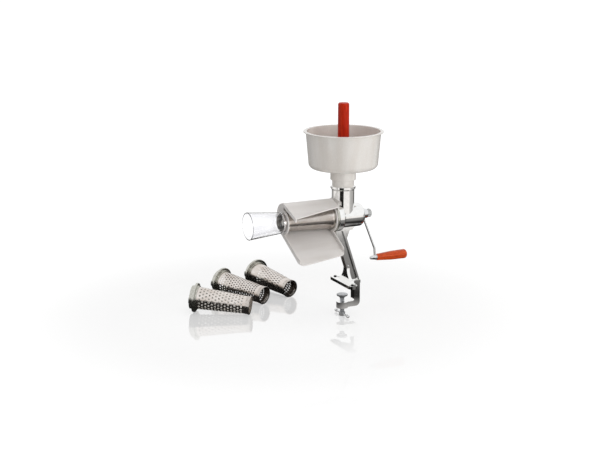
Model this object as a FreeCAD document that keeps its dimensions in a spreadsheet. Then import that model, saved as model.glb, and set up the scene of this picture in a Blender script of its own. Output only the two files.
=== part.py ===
import FreeCAD, Part
import math
import os
import re

import Sketcher

# A hand cranked tomato strainer on a table clamp, with three spare screens beside it.
# The origin is on the clamp jaw's underside, where it rests on the table top, straight
# below the middle of the feed tube. +Z is up, +X runs along the barrel to the crank and
# -Y is the side where the chute lets the juice run off.

# Driving dimensions in millimetres and degrees. A reach is a distance from the feed
# tube's middle plane along the barrel: ahead is towards the screen, back to the crank.
SIZES = {
    # Height of the barrel's axis above the table top, and the rises stacked on it
    "axis_height": 179,
    "tube_rise": 78.5,
    "hopper_rise": 138.5,
    "plunger_rise": 70,
    "running_gap": 0.05,
    "press_gap": 0.01,
    "clear_gap": 0.4,
    # How far a cut runs past a face, how far a rib is sunk in its neighbour, and edge roundings
    "past": 1,
    "sunk": 1,
    "fine_edge": 0.6,
    "small_edge": 1,
    "soft_edge": 2,
    # Feed tube
    "tube_radius": 28.5,
    "tube_wall": 2,
    "tube_band": 3,
    "tube_band_height": 6.5,
    "throat_ledge": 0.8,
    "throat_fin": 1.7,
    # Barrel with its mouth collar at the screen end
    "barrel_radius": 30,
    "barrel_wall": 3,
    "barrel_tail": 23.5,
    "barrel_end_wall": 14,
    "barrel_end_round": 11,
    "collar_wall": 6.5,
    "collar_inset": 2.5,
    "collar_length": 13,
    "mouth_step": 3.5,
    "collar_edge": 1.5,
    "mouth_depth": 9,
    "bore_round": 4,
    "keel_depth": 7,
    "keel_width": 18,
    "keel_tail": 22,
    "gusset_drop": 26,
    "gusset_inset": 4,
    "gusset_foot": 8,
    # Leg, jaw and clamp
    "leg_top_front": 24,
    "leg_top_back": 1,
    "leg_foot_front": 22,
    "leg_foot_back": 48,
    "leg_edge": 5,
    "leg_width": 18,
    "leg_web": 7,
    "jaw_thickness": 8,
    "jaw_reach": 8,
    "ear_spread": 47,
    "ear_radius": 12,
    "ear_flat": 0.2,
    "ear_inner_round": 8,
    "ear_hole": 3.2,
    "ear_rim": 4,
    "stud_thickness": 2.5,
    "stud_barb": 0.8,
    "stud_ramp": 0.5,
    "stud_rise": 2.2,
    "stud_round": 1.4,
    "jaw_neck_back": 14,
    "jaw_neck_side": 22,
    "jaw_neck_round": 6,
    "fillet_rise": 40,
    "fillet_margin": 4,
    "web_width": 8,
    "web_toe": 2,
    "web_lip": 0.4,
    "web_sunk": 3,
    "spine_front": 30,
    "spine_back": 46,
    "clamp_opening": 46,
    "clamp_inner_round": 6,
    "clamp_outer_round": 12,
    "arm_thickness": 14,
    "arm_width": 20,
    "boss_wall": 9,
    "boss_drop": 2,
    # Clamp screw
    "screw_radius": 6,
    "screw_rest_drop": 10.5,
    "pad_radius": 14,
    "pad_thickness": 5,
    "pad_top_depth": 26,
    "pad_hub_wall": 4.1,
    "pad_hub_drop": 3.5,
    "pad_socket": 2.5,
    "tip_step": 2.1,
    "head_overhang": 2,
    "screw_head_height": 11,
    "tommy_radius": 2.5,
    "tommy_half": 32,
    "tommy_knob": 4.2,
    "tommy_flat": 0.6,
    # Bayonet between the screen and the barrel's mouth
    "lug_angle": 24,
    "lug_slack": 3,
    "lug_height": 2.7,
    "lug_width": 4,
    "twist_angle": 30,
    # Strainer screen
    "rim_overhang": 1,
    "flange_thickness": 6,
    "step_wall": 2.5,
    "step_length": 4,
    "spigot_wall": 2.4,
    "cone_wide": 29,
    "cone_small": 22.5,
    "cone_length": 132,
    "cone_seat": 2,
    "sheet": 1,
    "ring_wall": 0.9,
    "end_ring_length": 11,
    "ring_seat": 3,
    "ring_slip": 0.05,
    "bead_height": 0.8,
    "bead_width": 3,
    # Chute
    "chute_past": 1,
    "chute_wall": 2.5,
    "back_gap": 4.5,
    "roof_slope": 19,
    "roof_gap": 15.6,
    "roof_front": 73,
    "roof_front_near": 41,
    "floor_slope": 28,
    "floor_gap": 2.25,
    "floor_front": 98.5,
    "floor_front_near": 78,
    "lip_corner": 14,
    "trim_reach": 40,
    "end_plate": 3,
    "side_rise": 11,
    "eave_drop": 9,
    "far_ring_wall": 7.6,
    "near_ring_wall": 4.5,
    # Waste funnel
    "funnel_gap": 1.5,
    "funnel_length": 93.5,
    "funnel_socket_length": 6,
    "funnel_wall": 2,
    "funnel_mouth": 34.5,
    "funnel_flare": 0.4,
    "funnel_step": 3,
    "funnel_slack": 0.3,
    "funnel_edge": 0.9,
    # Spiral with its shaft
    "spiral_core_back": 12,
    "spiral_core_tip": 8,
    "spiral_setback": 4,
    "tip_past": 2,
    "spiral_pitch": 29,
    "spiral_disc": 3,
    "flight_width": 4.5,
    "flight_inset": 2,
    "flight_root": 2.5,
    "spiral_gap": 0.9,
    "socket_side": 13,
    "socket_depth": 16,
    "shaft_radius": 6,
    "thrust_width": 5,
    "thrust_play": 0.3,
    "bush_wall": 3,
    "bush_lip": 3,
    "bush_flange_width": 1.4,
    "square_side": 8,
    "thread_radius": 3,
    "seal_wire": 0.9,
    "seal_groove": 1.8,
    "seal_inset": 6,
    "seal_slack": 0.2,
    "shaft_end_inset": 2.5,
    # Crank
    "hub_gap": 0.5,
    "hub_radius": 12,
    "hub_length": 15.5,
    "hub_edge": 1.2,
    "rod_start": 6,
    "knob_radius": 11,
    "knob_length": 11,
    "knob_step": 1.5,
    "knob_collar": 3,
    "knob_round": 3,
    "knob_cap": 1.5,
    "knob_flute": 3,
    "flute_depth": 1.1,
    "flute_count": 9,
    "rod_radius": 2.8,
    "crank_radius": 116,
    "crank_swing": 7,
    "bend_reach": 92,
    "rod_offset": 26,
    "rod_bend": 16,
    "rod_elbow": 8,
    "rod_elbow_drop": 4,
    "eye_wall": 3.2,
    "eye_thickness": 4.5,
    # Grip
    "spindle_radius": 3,
    "grip_length": 87,
    "grip_inner_radius": 8.2,
    "grip_outer_radius": 12,
    "grip_slip": 0.08,
    "grip_play": 0.3,
    "grip_inner_round": 2.5,
    "grip_waist": 0.6,
    "grip_curve": 90,
    "grip_flat": 0.5,
    "head_step": 2.5,
    "head_gap": 0.3,
    "head_depth": 6,
    "head_thickness": 3,
    "washer_width": 4.5,
    "washer_thickness": 1.5,
    "nut_wall": 2,
    "nut_length": 12,
    "dome_inset": 0.3,
    "dome_round": 4,
    "dome_wall": 3,
    # Hopper
    "lip_width": 6,
    "hopper_lip": 3,
    "lip_edge": 1.2,
    "lip_fillet": 1.5,
    "hopper_top_radius": 94,
    "hopper_taper": 8,
    "hopper_wall": 2.5,
    "hopper_depth": 92,
    "hopper_corner": 13,
    "hopper_base_fall": 7,
    "neck_upper_radius": 32,
    "neck_step": 15.5,
    "neck_seat": 0.9,
    "neck_wall": 2.4,
    "spigot_length": 24,
    # Plunger
    "plunger_radius_top": 13.9,
    "plunger_radius_low": 15,
    "foot_gap": 1.2,
    "plunger_foot_height": 16,
    "foot_edge": 1.5,
    "foot_taper": 10,
    "foot_fillet": 6,
    "plunger_edge": 2.5,
    # Spare screens: place of each one's middle on the floor, and its turn about +Z
    "coarse_x": -265.5,
    "coarse_y": 149.7,
    "coarse_turn": -36,
    "medium_x": -172.5,
    "medium_y": 235.9,
    "medium_turn": -62,
    "fine_x": -68.8,
    "fine_y": 269.7,
    "fine_turn": -75,
}

# Sizes that follow from the ones above, so that what fits together stays together.
FITTED = {
    # Heights stacked on the barrel's axis
    "tube_top_height": "axis_height + tube_rise",
    "rim_height": "tube_top_height + hopper_rise",
    "plunger_top_height": "rim_height + plunger_rise",
    "neck_upper_height": "tube_top_height + neck_step",
    # Bores and outsides that share a wall
    "tube_bore": "tube_radius - tube_wall",
    "tube_band_radius": "tube_radius + tube_band",
    "barrel_bore": "barrel_radius - barrel_wall",
    "mouth_bore": "barrel_bore + mouth_step",
    "collar_radius": "mouth_bore + collar_wall",
    "boss_radius": "screw_radius + boss_wall",
    "tip_radius": "screw_radius - tip_step",
    "pad_hub_radius": "tip_radius + pad_hub_wall",
    "screw_head_radius": "screw_radius + head_overhang",
    "stud_radius": "ear_radius - ear_rim",
    # Barrel's two ends, ahead of the tube and behind it
    "collar_front": "tube_radius - collar_inset",
    "barrel_back": "tube_radius + barrel_tail",
    # The throat between the tube and the barrel, clear of the mouth
    "throat_radius": "(tube_bore - throat_ledge + collar_front - mouth_depth - throat_fin) / 2",
    "throat_shift": "(tube_bore - throat_ledge - collar_front + mouth_depth + throat_fin) / 2",
    # Screen
    "flange_radius": "collar_radius + rim_overhang",
    "step_radius": "cone_wide + step_wall",
    "end_ring_radius": "cone_small + ring_wall",
    "ring_bore": "cone_small + ring_seat * (cone_wide - cone_small) / cone_length + ring_slip",
    "bead_radius": "end_ring_radius + bead_height",
    "cone_end": "collar_front + flange_thickness + cone_seat + cone_length",
    # Chute, funnel and spiral along the screen
    "chute_front": "cone_end + chute_past",
    "chute_back": "cone_wide + back_gap + chute_wall",
    "roof_over_axis": "(cone_wide + roof_gap + chute_wall) / cos(roof_slope)",
    "floor_under_axis": "(cone_wide + floor_gap + chute_wall) / cos(floor_slope)",
    "ring_radius": "end_ring_radius + far_ring_wall",
    "ring_radius_near": "step_radius + near_ring_wall",
    "funnel_start": "chute_front + funnel_gap",
    "spiral_tip": "cone_end + tip_past",
    # Shaft and crank
    "spiral_back": "barrel_back - barrel_end_wall - spiral_setback",
    "seal_place": "barrel_back - seal_inset",
    "bush_radius": "shaft_radius + bush_wall",
    "bush_flange_radius": "bush_radius + bush_lip",
    "thrust_radius": "shaft_radius + thrust_width",
    "seal_seat": "shaft_radius - seal_groove",
    "eye_radius": "spindle_radius + eye_wall",
    "nut_flat": "spindle_radius + nut_wall",
    "washer_radius": "spindle_radius + washer_width",
    "head_radius": "spindle_radius + head_step",
    "grip_bore": "spindle_radius + grip_slip",
    # Hopper and plunger
    "hopper_rim_radius": "hopper_top_radius + lip_width",
    "hopper_base_radius": "hopper_top_radius - hopper_taper",
    "neck_bore": "tube_bore - 2 * running_gap - neck_wall",
    "neck_radius": "tube_bore + neck_seat",
    "plunger_foot_radius": "neck_bore - foot_gap",
}

doc = FreeCAD.newDocument("tomato_strainer")
sheet = doc.addObject("Spreadsheet::Sheet", "Sizes")
cells = {name: str(number) for name, number in SIZES.items()}
cells.update({name: "=" + formula for name, formula in FITTED.items()})
for row, (alias, content) in enumerate(cells.items(), start=1):
    sheet.set(f"A{row}", alias)
    sheet.set(f"B{row}", content)
    sheet.setAlias(f"B{row}", alias)
doc.recompute()

WORD = re.compile(r"[a-z][a-z_]*")
XZ = "XZ_Plane"
YZ = "YZ_Plane"
XY = "XY_Plane"


def tied(formula):
    """The formula with each sheet name written the way an expression needs it."""
    return WORD.sub(lambda m: "Sizes." + m.group() if m.group() in cells else m.group(), formula)


def value(formula):
    """The number that a formula of sheet names has now."""
    return float(sheet.evalExpression(tied(formula)))


def bind(thing, prop, formula):
    """Ties one property to a formula of sheet names."""
    thing.setExpression(prop, tied(formula))


def new_body(label):
    """An empty body that will carry one piece."""
    body = doc.addObject("PartDesign::Body", label)
    body.Label = label
    return body


def place(thing, x="0", y="0", z="0"):
    """Ties the piece's place to the sheet."""
    bind(thing, "Placement.Base.x", x)
    bind(thing, "Placement.Base.y", y)
    bind(thing, "Placement.Base.z", z)
    return thing


def plane_of(body, role):
    """One of the body's own origin planes."""
    return next(f for f in body.Origin.OriginFeatures if f.Role == role)


def new_sketch(body, role, shift=("0", "0", "0"), turn=0):
    """An empty sketch on an origin plane, shifted in the sketch's own directions."""
    sketch = body.newObject("Sketcher::SketchObject", body.Name + "_sketch")
    sketch.AttachmentSupport = [(plane_of(body, role), "")]
    sketch.MapMode = "FlatFace"
    turned = FreeCAD.Rotation(FreeCAD.Vector(1, 0, 0), turn)
    sketch.AttachmentOffset = FreeCAD.Placement(FreeCAD.Vector(*[value(s) for s in shift]), turned)
    for letter, formula in zip("xyz", shift):
        bind(sketch, "AttachmentOffset.Base." + letter, formula)
    return sketch


def corner_cut(before, corner, after, radius):
    """Where a rounding of this radius meets the two edges, and its middle."""
    to_before = (before - corner).normalize()
    to_after = (after - corner).normalize()
    half = to_before.getAngle(to_after) / 2
    reach = radius / math.tan(half)
    middle = (to_before + to_after).normalize() * (radius / math.sin(half)) + corner
    return corner + to_before * reach, middle, corner + to_after * reach


def add_rounding(sketch, cut, tip_at, lines, radius, name):
    """An arc that touches two lines, with their corner kept as a construction point."""
    first, middle, last = cut
    left = (first - middle).cross(last - middle).z > 0
    begin, finish = (first, last) if left else (last, first)
    angles = [math.atan2(p.y - middle.y, p.x - middle.x) for p in (begin, finish)]
    circle = Part.Circle(middle, FreeCAD.Vector(0, 0, 1), value(radius))
    arc = sketch.addGeometry(Part.ArcOfCircle(circle, *angles), False)
    tip = sketch.addGeometry(Part.Point(tip_at), True)
    for line in lines:
        sketch.addConstraint(Sketcher.Constraint("PointOnObject", tip, 1, line))
    sketch.addConstraint(Sketcher.Constraint("Tangent", lines[0], 2, arc, 1 if left else 2))
    sketch.addConstraint(Sketcher.Constraint("Tangent", lines[1], 1, arc, 2 if left else 1))
    number = sketch.addConstraint(Sketcher.Constraint("Radius", arc, value(radius)))
    sketch.renameConstraint(number, "r" + name)
    bind(sketch, "Constraints.r" + name, radius)
    return tip


def tie_point(sketch, geometry, end, across, up, name):
    """Holds one point of a sketch at two formulas."""
    for kind, letter, formula in (("DistanceX", "x", across), ("DistanceY", "y", up)):
        number = sketch.addConstraint(Sketcher.Constraint(kind, -1, 1, geometry, end, value(formula)))
        sketch.renameConstraint(number, letter + name)
        bind(sketch, "Constraints." + letter + name, formula)


def outline(body, role, corners, shift=("0", "0", "0"), turn=0):
    """A closed outline. Each corner is two formulas, and a third one where it is rounded."""
    sketch = new_sketch(body, role, shift, turn)
    points = [FreeCAD.Vector(value(c[0]), value(c[1]), 0) for c in corners]
    count = len(corners)
    starts = list(points)
    ends = list(points)
    cuts = {}
    for i, corner in enumerate(corners):
        if len(corner) == 3:
            cuts[i] = corner_cut(points[i - 1], points[i], points[(i + 1) % count], value(corner[2]))
            ends[i] = cuts[i][0]
            starts[i] = cuts[i][2]
    for i in range(count):
        sketch.addGeometry(Part.LineSegment(starts[i], ends[(i + 1) % count]), False)
    for i, corner in enumerate(corners):
        line_in = (i - 1) % count
        if i in cuts:
            tip = add_rounding(sketch, cuts[i], points[i], (line_in, i), corner[2], str(i))
            tie_point(sketch, tip, 1, corner[0], corner[1], str(i))
        else:
            sketch.addConstraint(Sketcher.Constraint("Coincident", line_in, 2, i, 1))
            tie_point(sketch, i, 1, corner[0], corner[1], str(i))
    return sketch


def ring_sketch(body, role, radius, at=("0", "0"), shift=("0", "0", "0")):
    """One full circle."""
    sketch = new_sketch(body, role, shift)
    centre = FreeCAD.Vector(value(at[0]), value(at[1]), 0)
    circle = sketch.addGeometry(Part.Circle(centre, FreeCAD.Vector(0, 0, 1), value(radius)), False)
    tie_point(sketch, circle, 3, at[0], at[1], "0")
    number = sketch.addConstraint(Sketcher.Constraint("Radius", circle, value(radius)))
    sketch.renameConstraint(number, "r0")
    bind(sketch, "Constraints.r0", radius)
    return sketch


def turn_feature(body, kind, sketch, axis, angle="360"):
    """A revolution or a groove about one of the sketch's own axes."""
    feature = body.newObject(kind, body.Name + "_turned")
    feature.Profile = sketch
    feature.ReferenceAxis = (sketch, [axis])
    feature.Angle = value(angle)
    bind(feature, "Angle", angle)
    feature.Midplane = value(angle) < 360
    return feature


def turned(body, sketch, axis):
    return turn_feature(body, "PartDesign::Revolution", sketch, axis)


def grooved(body, sketch, axis, angle="360"):
    return turn_feature(body, "PartDesign::Groove", sketch, axis, angle)


def flat_feature(body, kind, sketch, length, both=False, back=False):
    """A pad or a pocket of one length, on one side of the sketch or on both."""
    feature = body.newObject(kind, body.Name + "_flat")
    feature.Profile = sketch
    feature.Length = value(length)
    bind(feature, "Length", length)
    feature.SideType = "Symmetric" if both else "One side"
    feature.Reversed = back
    return feature


def padded(body, sketch, length, both=False, back=False):
    return flat_feature(body, "PartDesign::Pad", sketch, length, both, back)


def pocketed(body, sketch, length, both=False, back=False):
    return flat_feature(body, "PartDesign::Pocket", sketch, length, both, back)


def turned_piece(label, role, axis, corners):
    """A piece that is one turned outline."""
    body = new_body(label)
    turned(body, outline(body, role, corners), axis)
    return body


ABOUT_Z = "V_Axis"
ABOUT_X = "H_Axis"
PIECES = {}


def keep(piece):
    """Adds a finished piece to the ones that are written out."""
    PIECES[piece.Label] = piece
    return piece


KEEL_LOW = "(axis_height - barrel_radius - keel_depth)"
KEEL_HIGH = "(axis_height - barrel_bore - sunk)"
LEDGE = "(axis_height + collar_radius)"
WALL_FACE = "(barrel_back - barrel_end_wall)"
BOSS_LOW = "(clamp_opening + arm_thickness + boss_drop)"
EAR_X = "(ear_radius - jaw_reach)"
LUG_BACK = "(mouth_depth - clear_gap - collar_front)"
TURNS_OF_LUGS = (0, 180)


def body_casting():
    """One casting: barrel, feed tube, leg, jaw and the clamp's C, with all its bores."""
    body = new_body("body_casting")
    axis = ("0", "axis_height", "0")
    turned(body, outline(body, XZ, [
        ("-collar_front", "0"),
        ("-collar_front", "collar_radius", "collar_edge"),
        ("collar_length - collar_front", "collar_radius", "collar_edge"),
        ("collar_length - collar_front + collar_radius - barrel_radius", "barrel_radius"),
        ("barrel_back", "barrel_radius", "barrel_end_round"),
        ("barrel_back", "0"),
    ], axis), ABOUT_X)
    band_low = "tube_top_height - tube_band_height"
    turned(body, outline(body, XZ, [
        ("0", "axis_height"),
        ("tube_radius", "axis_height"),
        ("tube_radius", band_low + " - tube_band_radius + tube_radius"),
        ("tube_band_radius", band_low),
        ("tube_band_radius", "tube_top_height", "small_edge"),
        ("0", "tube_top_height"),
    ]), ABOUT_Z)
    casting_leg(body)
    casting_clamp(body)
    casting_jaw(body)
    casting_bores(body, axis)
    return body


def casting_leg(body):
    """The keel under the barrel and the raked leg: a web with a rib along each edge."""
    padded(body, outline(body, XZ, [
        ("-leg_top_front", KEEL_LOW),
        ("leg_top_back + keel_tail", KEEL_LOW),
        ("leg_top_back + keel_tail + keel_depth", KEEL_HIGH),
        ("-leg_top_front", KEEL_HIGH),
    ]), "keel_width", both=True)
    padded(body, outline(body, XZ, [
        ("-leg_top_front", KEEL_HIGH),
        ("-leg_top_front", KEEL_LOW),
        ("leg_foot_front", "0"),
        ("leg_foot_back", "0"),
        ("leg_top_back", KEEL_LOW),
        ("leg_top_back", KEEL_HIGH),
    ]), "leg_web", both=True)
    ribs = (("-leg_top_front", "leg_foot_front"), ("leg_top_back - leg_edge", "leg_foot_back - leg_edge"))
    for top, foot in ribs:
        padded(body, outline(body, XZ, [
            (top, KEEL_LOW),
            (foot, "0"),
            (foot + " + leg_edge", "0"),
            (top + " + leg_edge", KEEL_LOW),
        ]), "leg_width", both=True)
    padded(body, outline(body, XZ, [
        ("leg_top_back - leg_edge", KEEL_LOW),
        ("leg_top_back + keel_tail - gusset_inset", KEEL_LOW),
        ("leg_top_back + gusset_foot", KEEL_LOW + " - gusset_drop"),
    ]), "leg_web", both=True)


def casting_clamp(body):
    """The clamp's spine and lower arm, with the boss that the screw runs in."""
    arm_low = "-clamp_opening - arm_thickness"
    padded(body, outline(body, XZ, [
        ("spine_front", "jaw_thickness"),
        ("spine_front", "-clamp_opening", "clamp_inner_round"),
        ("0", "-clamp_opening"),
        ("0", arm_low),
        ("spine_back", arm_low, "clamp_outer_round"),
        ("spine_back", "jaw_thickness"),
    ]), "arm_width", both=True)
    boss = ring_sketch(body, XY, "boss_radius", shift=("0", "0", "-clamp_opening"))
    padded(body, boss, "arm_thickness + boss_drop", back=True)


def casting_jaw(body):
    """The jaw: a plate with an ear on each side, and a swept web over each ear."""
    front = "-jaw_reach"
    inner = "(2 * ear_radius - jaw_reach)"
    tip = "(ear_spread + ear_radius)"
    rounding = "ear_radius - ear_flat"
    neck = "(leg_width / 2)"
    padded(body, outline(body, XY, [
        ("leg_foot_back", "-" + neck),
        (inner + " + jaw_neck_back", "-" + neck, "jaw_neck_round"),
        (inner, "-" + neck + " - jaw_neck_side", "ear_inner_round"),
        (inner, "-" + tip, rounding),
        (front, "-" + tip, rounding),
        (front, tip, rounding),
        (inner, tip, rounding),
        (inner, neck + " + jaw_neck_side", "ear_inner_round"),
        (inner + " + jaw_neck_back", neck, "jaw_neck_round"),
        ("leg_foot_back", neck),
    ]), "jaw_thickness")
    low = "jaw_thickness - web_sunk"
    toe = "(ear_spread + web_toe)"
    sweep = "fillet_rise - fillet_margin"
    padded(body, outline(body, YZ, [
        ("-" + toe, low),
        ("-" + toe, "jaw_thickness + web_lip"),
        ("-" + neck, "jaw_thickness + web_lip", sweep),
        ("-" + neck, "jaw_thickness + fillet_rise"),
        (neck, "jaw_thickness + fillet_rise"),
        (neck, "jaw_thickness + web_lip", sweep),
        (toe, "jaw_thickness + web_lip"),
        (toe, low),
    ], shift=("0", "0", inner + " - web_width")), "web_width")


def casting_bores(body, axis):
    """Barrel bore and mouth, bayonet slots, bush seat, tube bore and throat, ear and screw holes."""
    ahead = "-collar_front - past"
    rim_front = "-collar_front - flange_thickness"
    grooved(body, outline(body, XZ, [
        (rim_front, "0"),
        (rim_front, "flange_radius + clear_gap"),
        ("-collar_front", "flange_radius + clear_gap"),
        ("-collar_front", "mouth_bore"),
        ("mouth_depth - collar_front", "mouth_bore"),
        ("mouth_depth - collar_front", "barrel_bore"),
        (WALL_FACE, "barrel_bore", "bore_round"),
        (WALL_FACE, "0"),
    ], axis), ABOUT_X)
    grooved(body, outline(body, XZ, [
        (WALL_FACE + " - past", "0"),
        (WALL_FACE + " - past", "bush_radius"),
        ("barrel_back + past", "bush_radius"),
        ("barrel_back + past", "0"),
    ], axis), ABOUT_X)
    top = "mouth_bore + lug_height + clear_gap"
    entry = "lug_angle + lug_slack"
    for turn in TURNS_OF_LUGS:
        slot = [
            (LUG_BACK + " - lug_width - clear_gap", "barrel_bore"),
            (LUG_BACK + " - lug_width - clear_gap", top),
            ("mouth_depth - collar_front", top),
            ("mouth_depth - collar_front", "barrel_bore"),
        ]
        grooved(body, outline(body, XZ, slot, axis, turn + 90 - value("twist_angle") / 2), ABOUT_X,
                entry + " + twist_angle")
        mouth = [(ahead, "barrel_bore"), (ahead, top)] + slot[2:]
        grooved(body, outline(body, XZ, mouth, axis, turn + 90 - value("twist_angle")), ABOUT_X, entry)
    grooved(body, outline(body, XZ, [
        ("0", LEDGE),
        ("tube_bore", LEDGE),
        ("tube_bore", "tube_top_height + past"),
        ("0", "tube_top_height + past"),
    ]), ABOUT_Z)
    throat = ring_sketch(body, XY, "throat_radius", ("throat_shift", "0"), ("0", "0", LEDGE + " + past"))
    pocketed(body, throat, "collar_radius + past")
    for side in ("ear_spread", "-ear_spread"):
        pocketed(body, ring_sketch(body, XY, "ear_hole", (EAR_X, side)), "jaw_thickness + past", back=True)
        pocketed(body, ring_sketch(body, XY, "stud_radius", (EAR_X, side)), "stud_thickness", back=True)
    hole = ring_sketch(body, XY, "screw_radius + running_gap", shift=("0", "0", "past - clamp_opening"))
    pocketed(body, hole, "arm_thickness + boss_drop + 2 * past")


def jaw_stud(label, side):
    """A rubber button in the jaw's ear, pressed flush below and snapped through above."""
    stud = turned_piece(label, XZ, ABOUT_Z, [
        ("0", "0"),
        ("stud_radius - running_gap", "0"),
        ("stud_radius - running_gap", "stud_thickness"),
        ("ear_hole - running_gap", "stud_thickness"),
        ("ear_hole - running_gap", "jaw_thickness"),
        ("ear_hole + stud_barb", "jaw_thickness + stud_ramp"),
        ("ear_hole + stud_barb", "jaw_thickness + stud_rise", "stud_round"),
        ("0", "jaw_thickness + stud_rise"),
    ])
    return place(stud, EAR_X, side, "0")


def shaft_bush():
    """The flanged bush in the barrel's end wall that the drive shaft turns in."""
    bush = turned_piece("shaft_bush", XZ, ABOUT_X, [
        (WALL_FACE + " - bush_flange_width", "shaft_radius + running_gap"),
        (WALL_FACE + " - bush_flange_width", "bush_flange_radius"),
        (WALL_FACE, "bush_flange_radius"),
        (WALL_FACE, "bush_radius - press_gap"),
        ("barrel_back", "bush_radius - press_gap"),
        ("barrel_back", "shaft_radius + running_gap"),
    ])
    return place(bush, z="axis_height")


def spiral_auger():
    """The spiral: a tapered core with one flight, coned to follow the screen, and a back disc."""
    body = new_body("spiral_auger")
    rim = "(barrel_bore - spiral_gap)"
    turned(body, outline(body, XZ, [
        ("-spiral_tip", "0"),
        ("-spiral_tip", "spiral_core_tip", "soft_edge"),
        ("-collar_front", "spiral_core_back"),
        ("spiral_back - spiral_disc", "spiral_core_back"),
        ("spiral_back - spiral_disc", rim),
        ("spiral_back", rim),
        ("spiral_back", "0"),
    ]), ABOUT_X)
    profile = outline(body, XZ, [
        ("flight_inset - spiral_tip", "spiral_core_tip - flight_root"),
        ("flight_inset - spiral_tip", rim),
        ("flight_inset - spiral_tip + flight_width", rim),
        ("flight_inset - spiral_tip + flight_width", "spiral_core_tip - flight_root"),
    ])
    flight = body.newObject("PartDesign::AdditiveHelix", "spiral_flight")
    flight.Profile = profile
    flight.ReferenceAxis = (profile, [ABOUT_X])
    flight.Mode = "pitch-height-angle"
    flight.Pitch = value("spiral_pitch")
    bind(flight, "Pitch", "spiral_pitch")
    height = "spiral_tip + spiral_back - flight_inset - flight_width - spiral_disc / 2"
    flight.Height = value(height)
    bind(flight, "Height", height)
    start = "(collar_front + flange_thickness + cone_seat)"
    per_length = "((cone_wide - cone_small) / cone_length)"
    slack = "(cone_wide - sheet - spiral_gap)"
    meet = start + " + (" + slack + " - " + rim + ") / " + per_length
    grooved(body, outline(body, XZ, [
        ("-(" + meet + ")", rim),
        ("-spiral_tip - past", slack + " - (spiral_tip + past - " + start + ") * " + per_length),
        ("-spiral_tip - past", rim + " + past"),
        ("-(" + meet + ")", rim + " + past"),
    ]), ABOUT_X)
    socket = outline(body, YZ, [
        ("-socket_side / 2", "-socket_side / 2"),
        ("socket_side / 2", "-socket_side / 2"),
        ("socket_side / 2", "socket_side / 2"),
        ("-socket_side / 2", "socket_side / 2"),
    ], shift=("0", "0", "spiral_back"))
    pocketed(body, socket, "socket_depth")
    return swung(body)


def square_on_axis(body, side, start, length):
    """A square bar along the barrel's axis."""
    half = "(" + side + ") / 2"
    corners = [("-" + half, "-" + half), (half, "-" + half), (half, half), ("-" + half, half)]
    padded(body, outline(body, YZ, corners, shift=("0", "0", start)), length)


def drive_shaft():
    """The shaft: square in the spiral, round in the bush, square in the hub, then a thread."""
    body = new_body("drive_shaft")
    groove_half = "(seal_wire + seal_slack)"
    end = "barrel_back + hub_gap + hub_length + knob_length - shaft_end_inset"
    turned(body, outline(body, XZ, [
        ("spiral_back - sunk", "0"),
        ("spiral_back - sunk", "shaft_radius"),
        ("seal_place - " + groove_half, "shaft_radius"),
        ("seal_place - " + groove_half, "seal_seat"),
        ("seal_place + " + groove_half, "seal_seat"),
        ("seal_place + " + groove_half, "shaft_radius"),
        ("barrel_back + hub_gap", "shaft_radius"),
        ("barrel_back + hub_gap", "thread_radius"),
        (end, "thread_radius", "small_edge"),
        (end, "0"),
    ]), ABOUT_X)
    square_on_axis(body, "socket_side - clear_gap / 2", "spiral_back - socket_depth + clear_gap",
                   "socket_depth - clear_gap")
    square_on_axis(body, "square_side", "barrel_back + hub_gap", "hub_length - clear_gap")
    return swung(body)


def thrust_washer():
    """The washer between the spiral's back and the bush's flange."""
    back = WALL_FACE + " - bush_flange_width - thrust_play"
    washer = turned_piece("thrust_washer", XZ, ABOUT_X, [
        ("spiral_back", "shaft_radius + running_gap"),
        ("spiral_back", "thrust_radius"),
        (back, "thrust_radius"),
        (back, "shaft_radius + running_gap"),
    ])
    return place(washer, z="axis_height")


def shaft_seal():
    """The rubber ring in the shaft's groove, inside the bush."""
    ring = doc.addObject("Part::Torus", "shaft_seal")
    ring.Label = "shaft_seal"
    bind(ring, "Radius1", "shaft_radius + running_gap / 2 - seal_wire")
    bind(ring, "Radius2", "seal_wire")
    place(ring, "seal_place", "0", "axis_height")
    ring.Placement.Rotation = FreeCAD.Rotation(FreeCAD.Vector(0, 1, 0), 90)
    return ring


def swung(piece):
    """Hangs a crank piece at the angle that the crank has at rest."""
    place(piece, z="axis_height")
    piece.Placement.Rotation = FreeCAD.Rotation(FreeCAD.Vector(1, 0, 0), -value("crank_swing"))
    return piece


HUB_FACE = "(barrel_back + hub_gap)"
HUB_MIDDLE = "(barrel_back + hub_gap + hub_length / 2)"
EYE_FACE = "(barrel_back + hub_gap + hub_length / 2 + rod_offset - eye_thickness / 2)"


def crank_hub():
    """The crank's boss, with a square hole for the shaft and a round one for the rod."""
    body = new_body("crank_hub")
    turned(body, outline(body, XZ, [
        (HUB_FACE, "0"),
        (HUB_FACE, "hub_radius", "hub_edge"),
        (HUB_FACE + " + hub_length", "hub_radius", "hub_edge"),
        (HUB_FACE + " + hub_length", "0"),
    ]), ABOUT_X)
    half = "(square_side / 2 + running_gap)"
    corners = [("-" + half, "-" + half), (half, "-" + half), (half, half), ("-" + half, half)]
    hole = outline(body, YZ, corners, shift=("0", "0", HUB_FACE + " + hub_length + past"))
    pocketed(body, hole, "hub_length + 2 * past")
    seat = ring_sketch(body, XY, "rod_radius + running_gap", (HUB_MIDDLE, "0"), ("0", "0", "-rod_start"))
    pocketed(body, seat, "hub_radius")
    return swung(body)


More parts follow.
